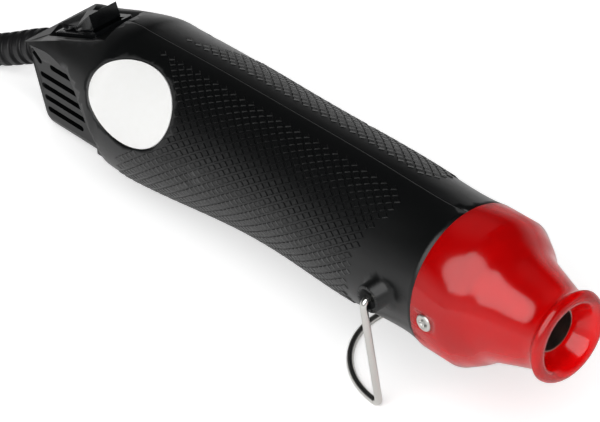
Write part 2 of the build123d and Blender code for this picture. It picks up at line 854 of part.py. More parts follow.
armature_radius = magnet_inner - magnet_gap
with BuildPart() as armature:
    with BuildSketch(Plane.YZ.offset(armature_middle - armature_length / 2)):
        Circle(armature_radius)
        with PolarLocations(armature_core_radius + armature_radius / 2, armature_pole_count):
            Rectangle(armature_radius, armature_slot_width, mode=Mode.SUBTRACT)
        Circle(shaft_radius + hair_gap, mode=Mode.SUBTRACT)
    extrude(amount=armature_length)

fan_front = fan_rear + fan_width
with BuildPart() as motor_shaft:
    with BuildSketch(Plane.YZ.offset(motor_rear - end_cap_length)):
        Circle(shaft_radius)
    extrude(amount=fan_front - motor_rear + end_cap_length)

blade_length = fan_radius - hub_radius + blade_thickness
with BuildPart() as fan:
    with BuildSketch(Plane.YZ.offset(fan_rear)):
        Circle(hub_radius)
    extrude(amount=fan_width)
    fillet(faces().sort_by(Axis.X)[-1].edges(), hub_radius / 3)
    with Locations(Plane.YZ.offset(fan_rear + fan_width / 2)):
        with PolarLocations(fan_radius - blade_length / 2, blade_count):
            Box(blade_length, blade_thickness, fan_width, rotation=(blade_pitch, 0, 0))
    with BuildSketch(Plane.YZ.offset(fan_rear - fan_width)):
        Circle(shaft_radius + hair_gap)
    extrude(amount=3 * fan_width, mode=Mode.SUBTRACT)

# Rectifier board on the motor's terminals, with four diodes and a capacitor
board_front = motor_rear - end_cap_length - tab_length + board_thickness + tab_thickness
board_rear = board_front - board_thickness
with BuildPart() as rectifier_board:
    with BuildSketch(Plane.YZ.offset(board_front)):
        Circle(board_radius)
        with Locations((tab_spacing, 0), (-tab_spacing, 0)):
            Rectangle(tab_thickness + 2 * hair_gap, tab_width + 2 * hair_gap, mode=Mode.SUBTRACT)
    extrude(amount=-board_thickness)

diode_rise = diode_radius + hair_gap
diode_rows = [(row - 1.5) * diode_pitch for row in range(4)]
with BuildPart() as diodes:
    for z in diode_rows:
        with BuildSketch(Plane.XZ.offset(-diode_length / 2)):
            with Locations((board_rear - diode_rise, z)):
                Circle(diode_radius)
        extrude(amount=diode_length)

with BuildPart() as capacitor:
    with BuildSketch(Plane.YZ.offset(board_rear)):
        with Locations((0, board_radius - capacitor_width)):
            RectangleRounded(capacitor_length, capacitor_width, capacitor_width / 3)
    extrude(amount=-capacitor_height)

# Rocker switch, square to the deck
switch_seat = -recess_depth
with BuildPart() as switch_body:
    with BuildSketch(deck_plane.offset(switch_seat)):
        with Locations((switch_position, 0)):
            RectangleRounded(bezel_length, bezel_width, bezel_radius)
    extrude(amount=bezel_height)
    with BuildSketch(deck_plane.offset(switch_seat)):
        with Locations((switch_position, 0)):
            Rectangle(body_length, body_width)
    extrude(amount=-body_depth)
    with BuildSketch(deck_plane.offset(switch_seat + bezel_height)):
        with Locations((switch_position, 0)):
            Rectangle(window_length, window_width)
    extrude(amount=-window_depth, mode=Mode.SUBTRACT)
    with BuildSketch(Plane.XZ):
        with Locations(on_deck(switch_position, rocker_pivot_height)):
            Circle(rocker_pin_radius + running_gap)
    extrude(amount=window_width / 2 + rocker_pin_length + fit_gap, both=True, mode=Mode.SUBTRACT)
    with BuildSketch(deck_plane.offset(switch_seat - body_depth)):
        for way in (1, -1):
            with Locations((switch_position + way * blade_tab_spacing / 2, 0)):
                Rectangle(blade_tab_thickness + 2 * hair_gap, blade_tab_width + 2 * hair_gap)
    extrude(amount=body_depth, mode=Mode.SUBTRACT)

with BuildPart() as switch_terminals:
    with BuildSketch(deck_plane.offset(switch_seat - body_depth - blade_tab_length)):
        for way in (1, -1):
            with Locations((switch_position + way * blade_tab_spacing / 2, 0)):
                Rectangle(blade_tab_thickness, blade_tab_width)
    extrude(amount=blade_tab_length + body_depth - window_depth)

# Outline of the rocker seen from the side, level; at rest it is tilted with its rear end down
rocker_half = rocker_length / 2
rocker_keel_half = rocker_keel_length / 2
rocker_outline = (
    (-rocker_half, rocker_end_rise), (0, rocker_middle_rise), (rocker_half, rocker_end_rise),
    (rocker_half - rocker_skirt_drop / 2, -rocker_skirt_drop / 2),
    (rocker_keel_half, -rocker_keel_drop), (-rocker_keel_half, -rocker_keel_drop),
    (rocker_skirt_drop / 2 - rocker_half, -rocker_skirt_drop / 2),
)
tilt = math.radians(rocker_tilt)
tilted_outline = [
    on_deck(
        switch_position + along * math.cos(tilt) - above * math.sin(tilt),
        rocker_pivot_height + along * math.sin(tilt) + above * math.cos(tilt),
    )
    for along, above in rocker_outline
]
with BuildPart() as rocker:
    with BuildSketch(Plane.XZ):
        with BuildLine():
            Polyline(*tilted_outline, close=True)
        make_face()
    extrude(amount=window_width / 2 - rocker_side_gap, both=True)
    with BuildSketch(Plane.XZ):
        with Locations(on_deck(switch_position, rocker_pivot_height)):
            Circle(rocker_pin_radius)
    extrude(amount=window_width / 2 + rocker_pin_length, both=True)

# Wire stand: pins into the bosses, two arms and a half-round foot that lies flat on the floor
arm_y = boss_reach + arm_gap + wire_radius
pin_y = arm_y - pin_inset
foot_x = pivot_x - foot_setback
foot_z = (wire_radius - foot_flat - axis_height - foot_x * nose_sin) / nose_cos
foot_back = (-nose_cos, nose_sin)
arc_start = (foot_x + foot_run * foot_back[0], foot_z + foot_run * foot_back[1])
foot_mid = (arc_start[0] + foot_radius * foot_back[0], 0, arc_start[1] + foot_radius * foot_back[1])
with BuildPart() as wire_stand:
    with BuildLine() as stand_path:
        FilletPolyline(
            (pivot_x, -pin_y, 0), (pivot_x, -arm_y, 0), (foot_x, -foot_radius, foot_z),
            (arc_start[0], -foot_radius, arc_start[1]), radius=stand_bend_radius,
        )
        ThreePointArc(
            (arc_start[0], -foot_radius, arc_start[1]), foot_mid,
            (arc_start[0], foot_radius, arc_start[1]),
        )
        FilletPolyline(
            (arc_start[0], foot_radius, arc_start[1]), (foot_x, foot_radius, foot_z),
            (pivot_x, arm_y, 0), (pivot_x, pin_y, 0), radius=stand_bend_radius,
        )
    with BuildSketch(Plane(origin=(pivot_x, -pin_y, 0), z_dir=(0, -1, 0))):
        Circle(wire_radius)
    sweep()
    with BuildSketch(floor_plane):
        with Locations((foot_x, 0)):
            Rectangle(4 * foot_radius, 4 * foot_radius)
    extrude(amount=-wire_radius, mode=Mode.SUBTRACT)

# Strain relief: a flange and neck in the rear wall, then a ribbed sleeve that sags to the floor
relief_steps = 4 * relief_rib_count


def relief_way(share):
    """Direction of the strain relief at a share of its length."""
    slope = (1 - share) * tail_rear_lean + share * (relief_end_slope - nose_up)
    slope = math.radians(slope + relief_sag * math.sin(math.pi * share))
    yaw = math.radians(relief_yaw * math.sin(math.pi * share / 2))
    return Vector(
        -math.cos(slope) * math.cos(yaw), -math.cos(slope) * math.sin(yaw), -math.sin(slope)
    )


relief_points = [Vector(exit_x, 0, relief_height) + relief_way(0) * fit_gap]
for step in range(relief_steps):
    step_way = relief_way((step + 1 / 2) / relief_steps)
    relief_points.append(relief_points[-1] + step_way * (relief_length / relief_steps))

flange_back = -wall - fit_gap - relief_flange_thickness
with BuildPart() as strain_relief:
    for step, point in enumerate(relief_points):
        share = step / relief_steps
        radius = relief_root_radius + share * (relief_tip_radius - relief_root_radius)
        grooved = step % 4 in (2, 3) and step < relief_steps - 1
        section = Plane(origin=point, x_dir=(0, 1, 0), z_dir=relief_way(share))
        with BuildSketch(section):
            Circle(radius - relief_groove_depth if grooved else radius)
    loft(ruled=True)
    with BuildSketch(exit_plane.offset(flange_back)):
        Circle(relief_neck_radius)
    extrude(amount=relief_groove_depth - flange_back)
    with BuildSketch(exit_plane.offset(flange_back)):
        Circle(relief_flange_radius)
    extrude(amount=relief_flange_thickness)

# Insulated leads inside the housing: routes chosen by hand between the pieces that they join
switch_depth = -recess_depth - body_depth - blade_tab_length - fit_gap
lead_y = lead_circle * math.cos(math.radians(lead_rise_angle))
lead_z = lead_circle * math.sin(math.radians(lead_rise_angle))
inside_exit = exit_plane.offset(flange_back - lead_spacing / 4).origin
terminal_end = sleeve_rear - terminal_reach - fit_gap


def cord_radii(points):
    """Largest arc that each corner of a route leaves room for."""
    radii = []
    for before, corner, after in zip(points, points[1:], points[2:]):
        arriving = Vector(corner) - Vector(before)
        leaving = Vector(after) - Vector(corner)
        half_turn = math.radians(arriving.get_angle(leaving) / 2)
        radii.append(route_share * min(arriving.length, leaving.length) / math.tan(half_turn))
    return radii


def round_tube(points, radius):
    """A round tube along a route of straight runs joined by the largest arcs that fit."""
    radii = cord_radii(points)
    with BuildPart() as tube:
        with BuildLine() as path:
            FilletPolyline(*points, radius=radii)
        with BuildSketch(Plane(origin=path.line @ 0, z_dir=path.line % 0)):
            Circle(radius)
        sweep()
    length = sum(edge.length for edge in path.edges())
    print(
        "tube length", round(length, 1), "mm, radii", [round(bend, 1) for bend in radii],
        "volume ratio", round(tube.part.volume / (length * math.pi * radius**2), 4),
    )
    return tube.part


def heater_end(side):
    """Last points of a lead that runs past the fan to one of the heater's terminals."""
    return (
        (motor_rear, side * lead_y, lead_z),
        (fan_front + lead_spacing, side * lead_y, lead_z - lead_radius / 2),
        (terminal_end - 2 * lead_spacing, side * (lead_y + terminal_y) / 2, lead_z),
        (terminal_end - lead_spacing, side * terminal_y, terminal_z),
        (terminal_end, side * terminal_y, terminal_z),
    )


rear_tab = on_deck(switch_position - blade_tab_spacing / 2, switch_depth)
front_tab = on_deck(switch_position + blade_tab_spacing / 2, switch_depth)
live_route = (
    (inside_exit.X, lead_spacing, inside_exit.Z), (-164.6, lead_spacing, -3.4),
    (-161.6, lead_spacing, -9.0), (-156.4, lead_spacing, -12.2), (-152.8, lead_spacing, -11.2),
    (rear_tab[0], lead_spacing, rear_tab[1]),
)
switch_route = (
    (front_tab[0], 0, front_tab[1]), (-144.6, 0.6, -7.2), (-140.0, 4.2, -8.6),
    (-133.0, 8.4, -5.0), (-126.5, 10.6, 1.5), (-120.0, 14.2, 5.6), (-112.0, lead_y, lead_z),
)
neutral_route = (
    (inside_exit.X, -lead_spacing, inside_exit.Z), (-164.6, -lead_spacing, -3.4),
    (-161.2, -2.4, -9.4), (-153.0, -4.4, -12.4), (-142.0, -6.6, -11.0), (-133.0, -8.4, -5.4),
    (-126.5, -10.6, 1.3), (-120.0, -14.2, 5.6), (-112.0, -lead_y, lead_z),
)
with BuildPart() as live_lead:
    add(round_tube(live_route, lead_radius))

with BuildPart() as switch_lead:
    add(round_tube(switch_route + heater_end(1), lead_radius))

with BuildPart() as neutral_lead:
    add(round_tube(neutral_route + heater_end(-1), lead_radius))

# The free stretch of cord lies on the floor, from the strain relief to the wound-up rest
relief_end = (standing * Location(tuple(relief_points[-1]))).position
ahead_point = Location(tuple(relief_points[-1] + relief_way(1)))
end_way = (standing * ahead_point).position - relief_end
first_run = (relief_end.Z - cord_radius) / -end_way.Z
coil_outer = coil_mean_radius + coil_pitch * layer_turns / 2
coil_x = coil_centre[0] + centre_shift
coil_y = coil_centre[1]


# Climbs of the wound-up cord: turns at the reversal, rise, and length in turns
plug_rise = cord_radius + plug_rest_gap + plug_height / 2
climbs = [(layer * layer_turns, coil_pitch, climb_turns) for layer in range(1, layer_count)]
climbs.append((layer_count * layer_turns, plug_rise, last_climb_turns))


def wound_point(turns):
    """Point and direction on the wound-up cord: in and out again, a layer higher each time."""
    angle = math.radians(coil_start_angle) - 2 * math.pi * turns
    layer = min(int(turns / layer_turns), layer_count)
    widening = layer % 2
    into_layer = turns - layer * layer_turns
    turns_in = layer_turns - into_layer if widening else into_layer
    radius = coil_outer - coil_pitch * turns_in
    height = cord_radius
    climb_rate = 0
    for reversal, rise, length in climbs:
        climb = min(max((turns - reversal + climb_turns / 2) / length, 0), 1)
        height += rise * (1 - math.cos(math.pi * climb)) / 2
        climb_rate += rise * math.pi * math.sin(math.pi * climb) / (2 * length)
    out = Vector(math.cos(angle), math.sin(angle), 0)
    around = Vector(math.sin(angle), -math.cos(angle), 0)
    drift = coil_pitch if widening else -coil_pitch
    way = around * (2 * math.pi * radius) + out * drift + Vector(0, 0, climb_rate)
    return Vector(coil_x, coil_y, height) + out * radius, way.normalized()


coil_steps = round(4 * coil_total)
entry_point, entry_way = wound_point(0)
exit_point, exit_way = wound_point(coil_total)
exit_way = Vector(exit_way.X, exit_way.Y, 0).normalized()
coil_start = entry_point - entry_way * coil_lead_in
cord_join = coil_start - entry_way * hair_gap
coil_end = exit_point + exit_way * coil_exit_run
with BuildPart() as cord_coil:
    with BuildLine() as coil_path:
        Line(coil_start, entry_point)
        for step in range(coil_steps):
            turns = step * coil_total / coil_steps
            biarc(*wound_point(turns), *wound_point(turns + coil_total / coil_steps))
        Line(exit_point, coil_end)
    with BuildSketch(Plane(origin=coil_start, z_dir=entry_way)):
        Circle(cord_radius)
    sweep()
wound_points = [wound_point(step / 24)[0] for step in range(round(24 * coil_total) + 1)]
wound_length = sum(edge.length for edge in coil_path.edges())
print("cord coil length", round(wound_length, 1), "mm, least gap",
      round(least_gap(wound_points, 2 * cord_radius, 6), 2), "mm")

shifted_route = [(x + centre_shift, y, cord_radius) for x, y in cord_route]
supply_route = (
    tuple(relief_end), tuple(relief_end + end_way * first_run), *shifted_route,
    tuple(cord_join),
)
with BuildPart() as supply_cord:
    add(round_tube(supply_route, cord_radius))

# Plug: a moulded body that lies on the coil, with two flat prongs
plug_section = Plane(origin=coil_end, x_dir=(exit_way.Y, -exit_way.X, 0), z_dir=exit_way)
with BuildPart() as plug:
    with BuildSketch(plug_section):
        RectangleRounded(2 * plug_neck_radius, 2 * plug_neck_radius, plug_neck_radius - hair_gap)
    with BuildSketch(plug_section.offset(plug_neck_length)):
        RectangleRounded(plug_width, plug_height, plug_corner_radius)
    loft()
    with BuildSketch(plug_section.offset(plug_neck_length)):
        RectangleRounded(plug_width, plug_height, plug_corner_radius)
    extrude(amount=plug_length - plug_neck_length)

with BuildPart() as plug_prongs:
    with BuildSketch(plug_section.offset(plug_length)):
        with Locations((prong_spacing / 2, 0), (-prong_spacing / 2, 0)):
            Rectangle(prong_thickness, prong_width)
    extrude(amount=prong_length)

tool_pieces = {
    "left_shell": left_shell, "right_shell": right_shell, "shell_screws": shell_screws,
    "label": label, "nozzle_cap": nozzle_cap, "cap_screws": cap_screws,
    "outlet_nozzle": outlet_nozzle, "heater_sleeve": heater_sleeve, "heater_base": heater_base,
    "heater_terminals": heater_terminals, "mica_plate_flat": mica_plate_flat,
    "mica_plate_upright": mica_plate_upright, "heater_coil": heater_coil,
    "thermal_cutout": thermal_cutout, "motor_can": motor_can, "motor_magnets": motor_magnets,
    "motor_end_cap": motor_end_cap, "motor_terminals": motor_terminals, "armature": armature,
    "motor_shaft": motor_shaft, "fan": fan, "rectifier_board": rectifier_board,
    "diodes": diodes, "capacitor": capacitor, "switch_body": switch_body,
    "switch_terminals": switch_terminals, "rocker": rocker, "wire_stand": wire_stand,
    "strain_relief": strain_relief, "live_lead": live_lead, "switch_lead": switch_lead,
    "neutral_lead": neutral_lead,
}
floor_pieces = {
    "supply_cord": supply_cord, "cord_coil": cord_coil, "plug": plug, "plug_prongs": plug_prongs,
}

# The tool's own pieces are stood up together; those on the floor lie there already
for name, piece in tool_pieces.items():
    piece.part = standing * piece.part
for name, piece in (tool_pieces | floor_pieces).items():
    piece.part.label = name
    export_step(piece.part, f"parts/{name}.step")
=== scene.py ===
# %% [markdown]
# An embossing heat tool, dressed for its picture.
#
# The tool is a hot air blower the size of a fat torch: a black ABS barrel in two halves, a clear
# red nozzle cap, a rocker switch on a sloping deck at the rear and a fold-out wire stand. The
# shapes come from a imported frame, which stays where it is. Here the pieces get their finish, and
# what a casting drawing leaves out is added: the diamond grip, the ribbed strain relief and a
# cord that lies on the table like a cord.

# %% Load the frame and keep its box
import bmesh
import bpy
import json
import math
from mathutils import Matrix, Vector

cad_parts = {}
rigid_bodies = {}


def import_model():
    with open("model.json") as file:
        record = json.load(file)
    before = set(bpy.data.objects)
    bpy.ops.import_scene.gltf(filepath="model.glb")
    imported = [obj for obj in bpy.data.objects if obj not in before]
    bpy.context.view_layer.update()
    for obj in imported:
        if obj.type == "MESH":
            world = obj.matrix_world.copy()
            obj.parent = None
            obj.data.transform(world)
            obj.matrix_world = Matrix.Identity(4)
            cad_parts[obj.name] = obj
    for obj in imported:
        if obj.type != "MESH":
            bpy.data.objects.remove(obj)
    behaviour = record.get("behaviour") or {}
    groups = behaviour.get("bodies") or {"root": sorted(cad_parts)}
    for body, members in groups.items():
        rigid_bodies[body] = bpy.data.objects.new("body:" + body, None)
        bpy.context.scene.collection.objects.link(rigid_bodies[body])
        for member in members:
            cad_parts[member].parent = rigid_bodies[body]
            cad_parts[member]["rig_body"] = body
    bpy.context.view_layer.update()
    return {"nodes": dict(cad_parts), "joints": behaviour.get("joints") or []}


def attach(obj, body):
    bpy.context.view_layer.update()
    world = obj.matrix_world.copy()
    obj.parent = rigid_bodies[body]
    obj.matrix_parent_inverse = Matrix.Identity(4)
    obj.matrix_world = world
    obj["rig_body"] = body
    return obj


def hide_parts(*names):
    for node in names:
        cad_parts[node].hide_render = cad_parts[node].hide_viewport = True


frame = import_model()
nodes = frame["nodes"]
MM = 0.001

# %% [markdown]
# The tool stands a little nose up, on its wire foot and its heel. Measures along the barrel are
# easier to think of in the tool's own directions, so they are read from two joints: the fan
# turns about the barrel's axis, and the stand's pins cross that axis 13 mm behind the red cap.

# %% The tool's own directions
joints = {joint["name"]: joint for joint in frame["joints"]}
forward = Vector(joints["fan_spin"]["axis"]).normalized()
left = Vector((0, 1, 0))
up = forward.cross(left)
pivot_back = 13.0
tool_origin = Vector(joints["stand_fold"]["pos_m"]) + forward * pivot_back * MM


def tool_point(along, side, height):
    """A point given in millimetres forward, left and up from the middle of the cap's joint."""
    return tool_origin + (forward * along + left * side + up * height) * MM


print("tool origin", [round(value, 4) for value in tool_origin])

# %% [markdown]
# The camera comes first, because everything after it is judged through it. The photograph was
# taken with a long lens from the right, in front and above: the barrel's edges hardly converge.
# A 180 mm lens at 0.87 m matches that, with the picture's middle on the optical axis.

# %% Camera
scene = bpy.context.scene
camera_data = bpy.data.cameras.new("camera")
camera_data.lens = 180.0
camera_data.sensor_width = 36.0
camera = bpy.data.objects.new("camera", camera_data)
camera.location = (0.47485, -0.44154, 0.57621)
camera.rotation_euler = [math.radians(angle) for angle in (49.362, -0.286, 47.262)]
scene.collection.objects.link(camera)
scene.camera = camera
scene.view_settings.view_transform = "Standard"
print("camera at", [round(value, 3) for value in camera.location])

# %% [markdown]
# A few helpers serve every finish and every node tree below. Colours are written as the hex values
# that a paint program shows, and Blender computes in linear light, so one function turns them.
# One function adds a node, sets its properties and fills its inputs with values or links, and the
# rest build on it: a maths node, a material, noise of a real size, bump, and a varied value.

# %% Helpers for colours and nodes


def linear(hex_colour):
    """A hex sRGB colour as linear red, green, blue and full alpha."""
    channels = [int(hex_colour[start:start + 2], 16) / 255 for start in (1, 3, 5)]
    return [c / 12.92 if c <= 0.04045 else ((c + 0.055) / 1.055) ** 2.4 for c in channels] + [1.0]


def add_node(tree, kind, inputs=None, **settings):
    """Add a node, set its properties, and set or link its inputs by name or number."""
    made = tree.nodes.new(kind)
    for name, value in settings.items():
        setattr(made, name, value)
    for key, value in (inputs or {}).items():
        if isinstance(value, bpy.types.NodeSocket):
            tree.links.new(value, made.inputs[key])
        else:
            made.inputs[key].default_value = value
    return made


def maths(tree, operation, *values):
    """The result of one maths node."""
    inputs = dict(enumerate(values))
    return add_node(tree, "ShaderNodeMath", inputs, operation=operation).outputs[0]


def new_material(name, colour, roughness, **extra):
    """A material with one shader, whose plain numbers are set on the shader's own sockets."""
    material = bpy.data.materials.new(name)
    material.use_nodes = True
    shader = material.node_tree.nodes["Principled BSDF"]
    shader.inputs["Base Color"].default_value = linear(colour)
    shader.inputs["Roughness"].default_value = roughness
    for key, value in extra.items():
        shader.inputs[key].default_value = value
    return material, material.node_tree, shader


def object_noise(tree, size_mm, stretch=(1, 1, 1), detail=3.0):
    """Noise with features of a real size, fixed to the piece."""
    place = add_node(tree, "ShaderNodeTexCoord")
    mapped = add_node(tree, "ShaderNodeMapping", {"Vector": place.outputs["Object"]})
    mapped.inputs["Scale"].default_value = [1 / (size_mm * MM * part) for part in stretch]
    return add_node(tree, "ShaderNodeTexNoise", {
        "Vector": mapped.outputs[0], "Scale": 1.0, "Detail": detail,
    }).outputs["Fac"]


def surface_grain(tree, shader, height, depth_mm, strength=1.0):
    """Bump from a height of 0 to 1, whose real depth is given."""
    bump = add_node(tree, "ShaderNodeBump", {
        "Height": height, "Distance": depth_mm * MM, "Strength": strength,
    })
    tree.links.new(bump.outputs[0], shader.inputs["Normal"])
    return bump


def vary(tree, shader, socket, fac, low, high):
    """Drive a colour or a number of the shader between two values by a pattern."""
    if isinstance(low, str):
        mixed = add_node(tree, "ShaderNodeMix", {0: fac, 6: linear(low), 7: linear(high)},
                         data_type="RGBA")
        tree.links.new(mixed.outputs[2], shader.inputs[socket])
    else:
        ranged = add_node(tree, "ShaderNodeMapRange", {
            "Value": fac, "To Min": low, "To Max": high,
        })
        tree.links.new(ranged.outputs[0], shader.inputs[socket])


# %% [markdown]
# The housing is injection moulded ABS from a spark eroded mould. The eye reads that as a black
# that isn't quite black: a broad, soft sheen, broken up by a grain a few tenths of a millimetre
# wide. The two halves meet in a fine line along the top and the bottom, which is drawn as a
# hairline groove where the side measure is nearly zero. Real grain is finer than a pixel here,
# so it is drawn at 0.6 mm.

# %% Black ABS of the housing
abs_black, tree, shader = new_material("spark_eroded_black_abs", "#070808", 0.34, IOR=1.53)
grain = object_noise(tree, 0.6)
patches = object_noise(tree, 22.0)
vary(tree, shader, "Base Color", patches, "#060707", "#0a0b0c")
vary(tree, shader, "Roughness", grain, 0.27, 0.38)
shader.inputs["Specular IOR Level"].default_value = 0.42
place = add_node(tree, "ShaderNodeTexCoord")
sides = add_node(tree, "ShaderNodeSeparateXYZ", {0: place.outputs["Object"]})
off_middle = maths(tree, "ABSOLUTE", sides.outputs["Y"])
seam_half_width = 0.25
grain_share = 0.1
seam = add_node(tree, "ShaderNodeMapRange", {
    "Value": off_middle, "From Max": seam_half_width * MM,
})
skin_height = maths(tree, "MULTIPLY_ADD", grain, grain_share, seam.outputs[0])
surface_grain(tree, shader, skin_height, 0.16, 0.7)
print("made", abs_black.name)

# %% [markdown]
# The nozzle cap is one clear moulding of red polycarbonate with a polished surface. Light goes
# through both walls, so what lies inside shows as darker red shapes, and the thick lip glows.
# A transmitting shader with polycarbonate's IOR of 1.585 does this; faint flow marks keep its
# gloss from looking like glass.

# %% Clear red polycarbonate
polycarbonate, tree, shader = new_material(
    "polished_red_polycarbonate", "#ff0206", 0.15, IOR=1.585, **{"Transmission Weight": 0.66},
)
flow = object_noise(tree, 9.0, (3, 1, 1))
vary(tree, shader, "Roughness", flow, 0.12, 0.18)
shader.inputs["Specular IOR Level"].default_value = 0.24
vary(tree, shader, "Base Color", flow, "#fa0104", "#ff0408")
surface_grain(tree, shader, flow, 0.03, 0.5)
print("made", polycarbonate.name)

# %% [markdown]
# Metals differ in how they were worked. The stand is drawn spring wire with bright nickel, so it
# mirrors the room with faint lines along its length. The screws are zinc plated, greyer and
# softer. The outlet is drawn stainless steel, with turning marks around its axis.

# %% Metals
nickel, tree, shader = new_material("bright_nickel_wire", "#d9d8d4", 0.16, Metallic=1.0)
wipe = object_noise(tree, 1.2, (1, 1, 6))
vary(tree, shader, "Roughness", wipe, 0.1, 0.26)
surface_grain(tree, shader, wipe, 0.01, 0.4)

zinc, tree, shader = new_material("clear_zinc_screw", "#d2d1cc", 0.3, Metallic=1.0)
spangle = object_noise(tree, 0.8)
vary(tree, shader, "Roughness", spangle, 0.22, 0.42)
vary(tree, shader, "Base Color", spangle, "#c4c3be", "#e2e1dc")
surface_grain(tree, shader, spangle, 0.02, 0.5)

stainless, tree, shader = new_material("drawn_stainless_steel", "#b9b5ae", 0.32, Metallic=1.0)
turning = object_noise(tree, 0.5, (1, 8, 8))
vary(tree, shader, "Roughness", turning, 0.24, 0.44)
vary(tree, shader, "Base Color", turning, "#a59f96", "#c6c3bd")
surface_grain(tree, shader, turning, 0.02, 0.5)

can_steel, tree, shader = new_material("plated_motor_steel", "#a9abab", 0.38, Metallic=1.0)
spangle = object_noise(tree, 1.5)
vary(tree, shader, "Roughness", spangle, 0.3, 0.48)
surface_grain(tree, shader, spangle, 0.02, 0.4)

brass, tree, shader = new_material("stamped_brass", "#c9a45a", 0.34, Metallic=1.0)
spangle = object_noise(tree, 0.9)
vary(tree, shader, "Base Color", spangle, "#b08a44", "#d8b56a")
surface_grain(tree, shader, spangle, 0.02, 0.4)

nichrome, tree, shader = new_material("oxidised_nichrome", "#6d675f", 0.5, Metallic=1.0)
spangle = object_noise(tree, 0.7)
vary(tree, shader, "Base Color", spangle, "#57504a", "#837c72")
surface_grain(tree, shader, spangle, 0.02, 0.4)

iron, tree, shader = new_material("stacked_iron_sheet", "#4b4a49", 0.55, Metallic=1.0)
sheets = object_noise(tree, 0.5, (1, 12, 12))
vary(tree, shader, "Base Color", sheets, "#3a3938", "#5b5a58")
surface_grain(tree, shader, sheets, 0.05, 0.6)
print("made the metals")

# %% [markdown]
# The small plastic and mineral parts each get one pattern that says what they are: glossy nylon
# with a faint ripple for the switch, plasticised vinyl for the cord, mottled mica, a phenolic
# board with its paper fibres, and white printed film for the oval plate.

# %% Plastics, rubber and mica
switch_nylon, tree, shader = new_material("glossy_black_nylon", "#0b0c0d", 0.2, IOR=1.53)
ripple = object_noise(tree, 3.0)
vary(tree, shader, "Roughness", ripple, 0.16, 0.28)
vary(tree, shader, "Base Color", ripple, "#090a0b", "#101112")
surface_grain(tree, shader, ripple, 0.03, 0.5)

vinyl, tree, shader = new_material("soft_black_vinyl", "#0e0e0f", 0.46, IOR=1.52)
skin = object_noise(tree, 0.9)
vary(tree, shader, "Base Color", skin, "#0b0b0c", "#131315")
vary(tree, shader, "Roughness", skin, 0.38, 0.56)
surface_grain(tree, shader, skin, 0.05, 0.5)

plate_white, tree, shader = new_material("white_polyester_film", "#fbfbfa", 0.34, IOR=1.5)
film = object_noise(tree, 2.5)
vary(tree, shader, "Base Color", film, "#f8f8f6", "#fefefd")
surface_grain(tree, shader, film, 0.01, 0.4)

mica, tree, shader = new_material("pressed_mica", "#b8ab8c", 0.5, IOR=1.58)
flakes = object_noise(tree, 1.6, (1, 1, 0.4))
vary(tree, shader, "Base Color", flakes, "#94866a", "#d0c4a6")
surface_grain(tree, shader, flakes, 0.05, 0.6)

phenolic, tree, shader = new_material("phenolic_paper_board", "#9a7440", 0.5, IOR=1.55)
fibres = object_noise(tree, 0.7, (1, 4, 1))
vary(tree, shader, "Base Color", fibres, "#80602f", "#b0884e")
surface_grain(tree, shader, fibres, 0.03, 0.5)


def small_moulding(name, dark, light, roughness, grain_mm):
    """A plain moulded part: two near colours over a fine grain."""
    material, tree, shader = new_material(name, dark, roughness, IOR=1.53)
    grain = object_noise(tree, grain_mm)
    vary(tree, shader, "Base Color", grain, dark, light)
    surface_grain(tree, shader, grain, 0.03, 0.5)
    return material


ferrite = small_moulding("sintered_ferrite", "#1e1e1f", "#2c2c2d", 0.6, 0.4)
fan_nylon = small_moulding("grey_fan_nylon", "#2b2b2d", "#38383a", 0.45, 0.8)
natural_nylon = small_moulding("natural_nylon", "#d8d4c8", "#e6e2d8", 0.45, 0.8)
epoxy_black = small_moulding("moulded_black_epoxy", "#141414", "#202020", 0.5, 0.4)
epoxy_red = small_moulding("dipped_red_epoxy", "#8a2a16", "#a8381e", 0.25, 1.0)
brown_sleeve = small_moulding("brown_silicone_sleeve", "#4a2413", "#5c301a", 0.5, 0.6)
blue_sleeve = small_moulding("blue_silicone_sleeve", "#153a70", "#1f4a86", 0.5, 0.6)
print("made the plastics")

# %% [markdown]
# Parts that nobody sees from a step away keep the mesh that the frame brought and only get their
# finish. The table says which finish each one takes.

# %% Finish of the inner parts
inner_finish = {
    "shell_screws": zinc, "outlet_nozzle": stainless, "heater_sleeve": mica, "heater_base": mica,
    "heater_terminals": brass, "mica_plate_flat": mica, "mica_plate_upright": mica,
    "heater_coil": nichrome, "thermal_cutout": can_steel, "motor_can": can_steel,
    "motor_magnets": ferrite, "motor_end_cap": natural_nylon, "motor_terminals": brass,
    "armature": iron, "motor_shaft": can_steel, "fan": fan_nylon, "rectifier_board": phenolic,
    "diodes": epoxy_black, "capacitor": epoxy_red, "switch_terminals": brass,
    "live_lead": brown_sleeve, "switch_lead": brown_sleeve, "neutral_lead": blue_sleeve,
    "plug": vinyl, "plug_prongs": zinc,
}


def only_material(piece, material):
    """Give a piece one material in place of what it has."""
    piece.data.materials.clear()
    piece.data.materials.append(material)


for name, material in inner_finish.items():
    only_material(nodes[name], material)
print("finished", len(inner_finish), "inner parts")

# %% [markdown]
# The parts that show are drawn as triangles with a hard edge round each one, which a glossy
# finish gives away as facets. Each gets a copy with its points merged and its normals smoothed
# up to an angle of 28 degrees, so that round stays round and real edges stay crisp.

# %% Smooth copies of the parts that show
smooth_angle = 28.0
shown_finish = {
    "left_shell": ("housing_left", "black_housing", abs_black),
    "right_shell": ("housing_right", "black_housing", abs_black),
    "label": ("oval_plate", "white_label", plate_white),
    "nozzle_cap": ("red_nozzle_cap", "red_cap", polycarbonate),
    "cap_screws": ("nozzle_screws", "zinc_screw", zinc),
    "switch_body": ("switch_frame", "switch_black", switch_nylon),
    "rocker": ("switch_rocker", "switch_black", switch_nylon),
    "wire_stand": ("stand_wire", "steel_wire", nickel),
}


